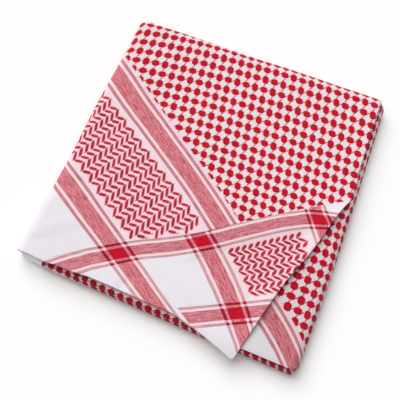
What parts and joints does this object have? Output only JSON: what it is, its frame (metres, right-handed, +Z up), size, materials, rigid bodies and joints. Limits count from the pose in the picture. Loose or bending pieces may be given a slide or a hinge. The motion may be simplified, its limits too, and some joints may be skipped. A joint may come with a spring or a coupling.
{
  "type": "folded keffiyeh headscarf",
  "caption": "Square cotton headscarf folded to a flat packet, red and white check with striped borders, one loose corner pleated over the top.",
  "frame": {"origin": "middle of the folded packet's outline, tip and side rolls included, on the surface that it lies on", "axes": "+Z up through the plies, +Y from the front roll and loose tip to the back, +X to the side where the under layer's roll stands out"},
  "size_m": [0.341, 0.365, 0.0274],
  "materials": {
    "hidden_plies": "woven cotton, red and white check seen edge on, matt",
    "wrap_cloth": "woven cotton, red and white check and white border, matt",
    "under_cloth": "woven cotton, red and white check and border stripes, matt",
    "top_cloth": "woven cotton, red and white check, herringbone and border stripes, matt",
    "flap_cloth": "woven cotton, crossing border stripes with red squares, herringbone, white border, matt"
  },
  "bodies": {
    "root": {"fold_core": "hidden_plies", "front_wrap": "wrap_cloth", "under_layer": "under_cloth", "top_layer": "top_cloth", "corner_flap": "flap_cloth"}
  },
  "joints": []
}
